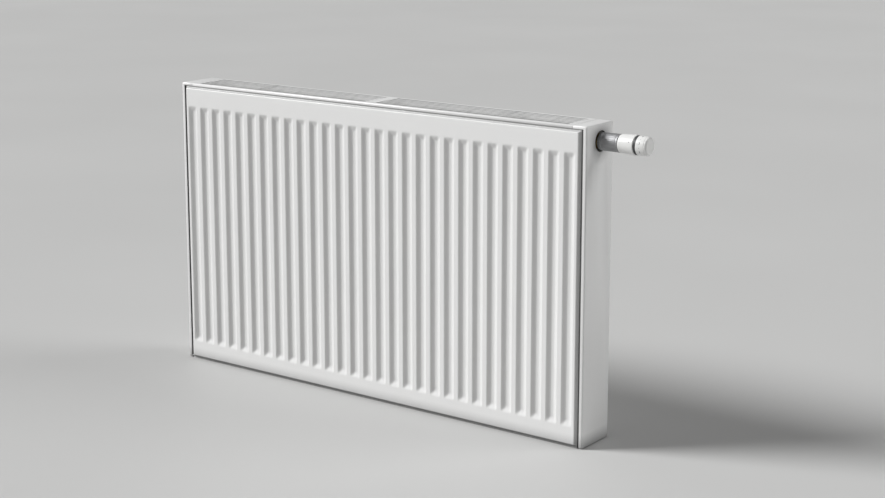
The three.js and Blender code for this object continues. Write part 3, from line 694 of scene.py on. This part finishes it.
def casing():
    top_grille()
    side_cover("right_cover_pressed", "right_side_cover", 1, 19.5, centre_of("union_nut"))
    side_cover("left_cover_pressed", "left_side_cover", -1, 14, centre_of("air_vent_outlet"))
    for node_name in ("grille_clip_left", "grille_clip_right"):
        low, high = span(node_name)
        line = [
            (low.y + 1, high.z),
            (low.y + 1, low.z + 1),
            (high.y - 1, low.z + 1),
            (high.y - 1, high.z),
        ]
        outline = strip(line, -1, 1.4)
        made = extruded(node_name + "_bent", outline, "x", low.x, high.x, "steel", 50)
        ease(made, 0.2, limit=60)
        place(made, "radiator", "steel", node_name)


# ---------------------------------------------------------------- fittings


def cylinder(name, start, end, radius, centre, axis, slot="enamel_inside", soften=0.4):
    profile = [(start, 0), (start, radius), (end, radius), (end, 0)]
    return turned(name, profile, centre, slot, axis, soften, 64)


def tee(node_name, port_centre, side, nipple_foot=None):
    low, high = span(node_name)
    x = high.x - 15 if side < 0 else low.x + 15
    centre = (x, port_centre.y, port_centre.z)
    end = low.x if side < 0 else high.x
    made = cylinder(node_name + "_welded", low.y, high.y, 15, centre, "y")
    extra = [cylinder("port", *sorted((x, end)), 13.5, centre, "x")]
    bores = [
        cylinder("bore", low.y - 1, high.y + 1, 11, centre, "y", soften=0),
        cylinder("bore", *sorted((x, end + side)), 9.3, centre, "x", soften=0),
    ]
    if nipple_foot is not None:
        extra.append(cylinder("nipple", nipple_foot, centre[2], 13.2, centre, "z"))
        bores.append(cylinder("bore", nipple_foot - 1, centre[2], 9, centre, "z", soften=0))
    join(made, *extra)
    cut(made, *bores)
    ease(made, 0.3, limit=50)
    place(made, "radiator", "enamel_inside", node_name)


def hexagon_prism(name, centre, across, start, end, slot):
    """A hexagonal bar along X with its corners turned down at both ends."""
    corner = across / math.sqrt(3)
    outline = []
    for i in range(6):
        turn = math.radians(60 * i)
        outline.append((centre[1] + corner * math.cos(turn), centre[2] + corner * math.sin(turn)))
    made = extruded(name, outline, "x", start, end, slot)
    return ease(made, 0.5)


def out_from(side, origin):
    """Distances out from a port's end face, as places along X."""
    return lambda *distances: [origin + side * d for d in distances]


def plug(node_name, side, key=True):
    low, high = span(node_name)
    centre = (low + high) / 2
    inner = low.x if side > 0 else high.x
    at = out_from(side, inner + side * 14)
    made = cylinder(node_name + "_turned", *sorted(at(-14, 3)), 9, centre, "x", "nickel")
    head = hexagon_prism("head", centre, 23, *sorted(at(1.8, 6.8)), "nickel")
    join(made, head)
    if key:
        made = cut(made, hexagon_prism("key", centre, 10, *sorted(at(-1, 9)), "nickel"))
    ease(made, 0.3, limit=50)
    return place(made, "radiator", "nickel", node_name), at, centre


def fittings():
    left, right = span("blind_plug_left"), span("blind_plug_right")
    tee("top_left_tee", centre_of("air_vent_seal"), -1)
    tee("bottom_left_tee", (left[0] + left[1]) / 2, -1)
    tee("bottom_right_return_tee", (right[0] + right[1]) / 2, 1, span("supply_nipple")[0].z)
    plug("blind_plug_left", -1)
    plug("blind_plug_right", 1)
    seals()
    air_vent()
    supply()


def seals():
    for node_name in ("blind_plug_seal_left", "blind_plug_seal_right", "air_vent_seal"):
        low, high = span(node_name)
        centre = (low + high) / 2
        profile = [(low.x, 9.6), (low.x, 12.5), (high.x, 12.5), (high.x, 9.6)]
        made = turned(node_name + "_round", profile, centre, "rubber", radius=0.5, sides=64)
        place(made, "radiator", "rubber", node_name)


def air_vent():
    """The vent plug, its swivelling outlet with a spout hole, and the square of the bleed screw."""
    low, high = span("air_vent_plug")
    centre = (low + high) / 2
    at = out_from(-1, high.x - 14)
    body = cylinder("air_vent_plug_turned", *sorted(at(-14, 3)), 9, centre, "x", "nickel")
    head = hexagon_prism("head", centre, 23, *sorted(at(1.8, 6.8)), "nickel")
    nose = cylinder("nose", *sorted(at(2, 11)), 6, centre, "x", "nickel")
    join(body, head, nose)
    outlet_low, outlet_high = span("air_vent_outlet")
    spout_centre = (outlet_low + outlet_high) / 2
    cut(
        body,
        cylinder("bore", *sorted(at(0, 12)), 3, centre, "x", soften=0),
        cylinder("passage", *sorted(at(-15, 1)), 1.5, centre, "x", soften=0),
        cylinder("spout", centre.z - 12, centre.z, 1.2, spout_centre, "z", soften=0),
    )
    ease(body, 0.3, limit=50)
    place(body, "radiator", "nickel", "air_vent_plug")

    def grip(along, radius, turn):
        return 0.18 * math.cos(24 * turn) if radius > 9 else 0

    x0, x1 = outlet_low.x, outlet_high.x
    profile = [(x0, 6.4), (x0, 9.75), (x1, 9.75), (x1, 6.4)]
    outlet = turned("air_vent_outlet_ribbed", profile, centre, "white_plastic", ripple=grip, sides=192)
    cut(outlet, cylinder("spout", centre.z - 12, centre.z, 1.2, spout_centre, "z", soften=0))
    place(outlet, "vent_outlet", "white_plastic", "air_vent_outlet")
    low, high = span("bleed_screw")
    stem = [(high.x, 0), (high.x - 1, 1.2), (high.x - 1, 2.7), (low.x + 3.8, 2.7), (low.x + 3.8, 0)]
    screw = turned("bleed_screw_turned", stem[::-1], centre, "brass", radius=0.2, sides=48)
    half = 2
    square = box(
        "square",
        (low.x, centre.y - half, centre.z - half),
        (low.x + 5, centre.y + half, centre.z + half),
        "brass",
    )
    join(screw, square)
    ease(screw, 0.2, limit=60)
    place(screw, "bleed_screw", "brass", "bleed_screw")


def supply():
    """The supply nipple, the stay between the two nipples and the riser to the valve."""
    low, high = span("supply_nipple")
    centre = (low + high) / 2
    z0, z1 = low.z, high.z
    profile = [
        (z0, 9),
        (z0, 13.2),
        (z0 + 13.3, 13.2),
        (z0 + 13.3, 15),
        (z0 + 18.3, 15),
        (z0 + 18.3, 10.5),
        (z1, 10.5),
        (z1, 7.8),
        (z1 - 10.1, 7.8),
        (z1 - 10.1, 6.5),
        (z0 + 13.3, 6.5),
        (z0 + 13.3, 9),
    ]
    nipple = turned("supply_nipple_turned", profile, centre, "nickel", "z", 0.5, 64)
    place(nipple, "radiator", "nickel", "supply_nipple")
    low, high = span("nipple_stay")
    upright = lambda x, y, z: z == 0
    stay = rounded_box("nipple_stay_punched", low, high, upright, 6, 6, "steel")
    y = centre.y
    holes = []
    for x in (centre.x, high.x - 20):
        holes.append(cylinder("hole", low.z - 1, high.z + 1, 13.8, (x, y, 0), "z", soften=0))
    cut(stay, *holes)
    ease(stay, 0.4, limit=50)
    place(stay, "radiator", "steel", "nipple_stay")
    riser()


def riser():
    low, high = span("riser_pipe")
    radius = 7.5
    foot = Vector((low.x + radius, low.y + radius, low.z))
    head = Vector((high.x - radius, high.y - radius, high.z))
    bend_from, bend_to = low.z + 28.5, low.z + 118.5
    count = 40
    points = []
    for i in range(count + 1):
        z = bend_from + (bend_to - bend_from) * i / count
        t = i / count
        across = t * t * (3 - 2 * t)
        points.append((foot.x + (head.x - foot.x) * across, foot.y + (head.y - foot.y) * across, z))
    points = [tuple(foot)] + points + [tuple(head)]
    pipe = swept("riser_pipe_bent", points, radius, "enamel_inside")
    place(pipe, "radiator", "enamel_inside", "riser_pipe")


# ---------------------------------------------------------------- thermostatic head


def union_nut(centre):
    """A nut gripped by hand: shallow flutes between two smooth collars."""
    low, high = span("union_nut")
    x0, x1, r = low.x, high.x, 16.8

    def flutes(along, radius, turn):
        if x0 + 8 < along < x1 - 5 and radius > 16:
            return -0.2 * abs(math.cos(16 * turn)) ** 3
        return 0

    profile = [
        (x0, 15.2),
        (x0, 15.7),
        (x0 + 0.4, 15.9),
        (x0 + 3, 15.9),
        (x0 + 4.2, r),
        (x0 + 7.3, r),
        (x0 + 8.1, r - 0.4),
        (x0 + 9.1, r - 0.4),
        (x0 + 9.9, r - 0.1),
        (x1 - 6, r - 0.1),
        (x1 - 4.6, r - 0.5),
        (x1 - 3.8, r - 0.5),
        (x1 - 3, r),
        (x1 - 0.8, r),
        (x1, r - 0.8),
        (x1, 12.3),
        (x0 + 19, 12.3),
        (x0 + 19, 14.3),
        (x0 + 12, 14.3),
        (x0 + 12, 15.2),
    ]
    nut = turned("union_nut_fluted", profile, centre, "nickel", ripple=flutes, sides=320, radius=0.3)
    place(nut, "radiator", "nickel", "union_nut")


def head_base(centre):
    """The flared sleeve below the dial, and the dark ring that the dial turns against."""
    low, high = span("head_base")
    ring_low, ring_high = span("stop_ring")
    shoulder = span("union_nut")[1].x + 0.4
    end = ring_low.x - 0.3
    profile = [
        (low.x, 8),
        (low.x, 12),
        (shoulder, 12),
        (shoulder, 16.4),
        (shoulder + 2.4, 17.2),
        (end - 1.2, 18.9),
        (end, 18.3),
        (end, 16.4),
        (shoulder + 5.6, 15.4),
        (shoulder + 5.6, 13.2),
        (high.x, 13.2),
        (high.x, 11.2),
        (low.x + 15.2, 11.2),
        (low.x + 15.2, 8),
    ]
    base = turned("head_base_moulded", profile, centre, "white_plastic", radius=0.6)
    place(base, "radiator", "white_plastic", "head_base")
    x0, x1 = ring_low.x, ring_high.x
    profile = [(x0, 13.6), (x0, 17.5), (x1, 17.5), (x1, 13.6)]
    ring = turned("stop_ring_moulded", profile, centre, "dark_plastic", radius=0.3)
    place(ring, "radiator", "dark_plastic", "stop_ring")
    index = turned(
        "index_dot",
        [(17.8, 0), (17.8, 0.8), (18.62, 0.8), (18.62, 0)],
        (end - 8, 0, 0),
        INK,
        "z",
        0.15,
        32,
    )
    turn_about(index, centre, READING_TURN)
    place(index, "radiator", "dark_plastic")


READING_TURN = math.radians(68)  # the setting being read, from the top towards the room


def turn_about(made, centre, angle):
    """Turns a piece made above the X axis to its place round the head."""
    cos, sin = math.cos(angle), math.sin(angle)
    for vertex in made.data.vertices:
        x, y, z = vertex.co / MM
        y, z = y * cos - z * sin, y * sin + z * cos
        vertex.co = Vector((x, y + centre[1], z + centre[2])) * MM
    tidy(made.data)


def dial(centre):
    """The dial, its marks and the cap that closes its end."""
    low, high = span("dial")
    x0, x1 = low.x, high.x

    def grips(along, radius, turn):
        """Shallow hollows round the end half of the dial."""
        start, end = x0 + 11.5, x1 + 1
        if not start < along < end or radius < 15:
            return 0
        return -0.3 * max(0, math.cos(10 * turn)) ** 4 * min(1, (along - start) / 1.5)

    profile = [(x0, 13.7), (x0, 17.2), (x0 + 0.8, 17.9), (x0 + 10, 17.6), (x0 + 11.6, 17.5)]
    profile += [(x0 + 13.2, 17.4), (x1 - 0.5, 17.3), (x1, 16.9), (x1, 13.9)]
    made = turned(
        "dial_moulded", profile, centre, "white_plastic", ripple=grips, sides=240, radius=0.4
    )
    place(made, "dial", "white_plastic", "dial")
    marks(centre, x0 + 8.2)
    cap(centre)


def marks(centre, along):
    """The settings round the dial: frost symbol and numbers, with a dot between each two."""
    step = math.radians(55)
    radius = 17.65
    for number in range(6):
        turn = READING_TURN + (number - 3) * -step
        text = str(number) if number else "*"
        wrapped_text(f"setting_{number}", text, centre, along, radius, turn)
    for number in range(5):
        turn = READING_TURN + (number - 2.5) * -step
        dot = turned(
            f"setting_dot_{number}",
            [(radius - 0.6, 0), (radius - 0.6, 0.5), (radius + 0.12, 0.5), (radius + 0.12, 0)],
            (along, 0, 0),
            INK,
            "z",
            0.1,
            20,
        )
        turn_about(dot, centre, turn)
        place(dot, "dial", "dark_plastic")


def wrapped_text(name, text, centre, along, radius, turn):
    """A character standing just proud of the dial, read with the head pointing to the right."""
    curve = bpy.data.curves.new(name, "FONT")
    curve.body = text
    curve.size = 5.4
    curve.align_x = "CENTER"
    curve.align_y = "CENTER"
    curve.extrude = 0.2
    curve.offset = 0.04
    source = bpy.data.objects.new("text", curve)
    bpy.context.scene.collection.objects.link(source)
    depsgraph = bpy.context.evaluated_depsgraph_get()
    mesh = bpy.data.meshes.new_from_object(source.evaluated_get(depsgraph))
    bpy.data.objects.remove(source)
    for vertex in mesh.vertices:
        u, v, w = vertex.co
        reach = radius - 0.08 + w
        angle = v / radius
        vertex.co = Vector((along + u, math.sin(angle) * reach, math.cos(angle) * reach)) * MM
    mesh.materials.clear()
    mesh.materials.append(INK)
    made = bpy.data.objects.new(name, mesh)
    bpy.context.scene.collection.objects.link(made)
    turn_about(made, centre, turn)
    place(made, "dial", "dark_plastic")


def cap(centre):
    """The dial's end, with a slightly hollow face."""
    low, high = span("dial_cap")
    x0, x1 = low.x, high.x
    face = span("dial")[1].x + 0.3
    profile = [
        (x0 + 3, 0),
        (x0 + 3, 11.4),
        (x0, 11.4),
        (x0, 13.5),
        (face, 13.5),
        (face, 17.2),
        (face + 2.2, 17),
        (x1 - 1.4, 16.1),
        (x1 - 0.25, 14.6),
        (x1, 13.4),
        (x1 - 0.1, 12.2),
        (x1 - 0.5, 8),
        (x1 - 0.6, 0),
    ]
    made = turned("dial_cap_moulded", profile, centre, "white_plastic", radius=0.7)
    place(made, "dial", "white_plastic", "dial_cap")


def thermostatic_head():
    low, high = span("union_nut")
    centre = (low + high) / 2
    union_nut(centre)
    head_base(centre)
    dial(centre)


# ---------------------------------------------------------------- carried-over CAD nodes


def finish_cad_nodes():
    """The CAD's own shapes that stay are given their slot's material and soft edges."""
    for part in frame["record"]["subparts"]:
        cad = NODES[part["node"]]
        if cad.hide_render:
            continue
        cad.data.materials.clear()
        cad.data.materials.append(MATERIALS[part["material_slot"]])
        cad.data.shade_smooth()
        cad.data.set_sharp_from_angle(angle=math.radians(32))


# ---------------------------------------------------------------- stage


def soft_light(name, azimuth, elevation, width, power):
    """Even light from a wide far-off source. Azimuth 0 is the room side, positive towards the valve."""
    light = bpy.data.lights.new(name, "SUN")
    light.angle = math.radians(width)
    light.energy = power
    made = bpy.data.objects.new(name, light)
    bpy.context.scene.collection.objects.link(made)
    a, e = math.radians(azimuth), math.radians(elevation)
    back = Vector((math.sin(a) * math.cos(e), -math.cos(a) * math.cos(e), math.sin(e)))
    made.location = back * 6
    made.rotation_mode = "QUATERNION"
    made.rotation_quaternion = (-back).to_track_quat("-Z", "Y")


# Name, then azimuth, elevation and width in degrees, and power in watts per square metre.
LIGHTS = [
    ("key", -58, 38, 22, 3.6),
    ("side", 126, 38, 30, 0.87),
    ("top", 175, 75, 60, 0.28),
]
WORLD = 0.05


def studio():
    floor_z = cad_box[0].z / MM
    flat, bend, top = 36000, 4000, 8000
    profile = [(0, 0), (0, flat / 2), (0, flat)]
    for step in range(1, 31):
        turn = math.radians(3 * step)
        profile.append((bend * (1 - math.cos(turn)), flat + bend * math.sin(turn)))
    profile.append((top, flat + bend))
    profile = [(floor_z + up, out) for up, out in profile]
    turned("floor", profile, (0, 0, 0), floor_paint(), "z", 0)
    for light in LIGHTS:
        soft_light(*light)
    world = bpy.data.worlds.new("world")
    world.use_nodes = True
    world.node_tree.nodes["Background"].inputs["Color"].default_value = (1, 1, 1, 1)
    world.node_tree.nodes["Background"].inputs["Strength"].default_value = WORLD
    bpy.context.scene.world = world
    bpy.context.scene.view_settings.view_transform = "Standard"


def camera():
    """The photograph's viewing angle."""
    lens = bpy.data.cameras.new("camera")
    lens.sensor_width = 36
    lens.lens = 69.94
    lens.shift_y = -0.08
    made = bpy.data.objects.new("camera", lens)
    bpy.context.scene.collection.objects.link(made)
    made.location = (2.0761, -2.6722, 0.7848)
    tilt, heading = 10.88, 36.40
    made.rotation_euler = (math.radians(90 - tilt), 0, math.radians(heading))
    bpy.context.scene.camera = made


camera()
panels()
convectors()
hanging_lugs()
casing()
fittings()
thermostatic_head()
finish_cad_nodes()
studio()
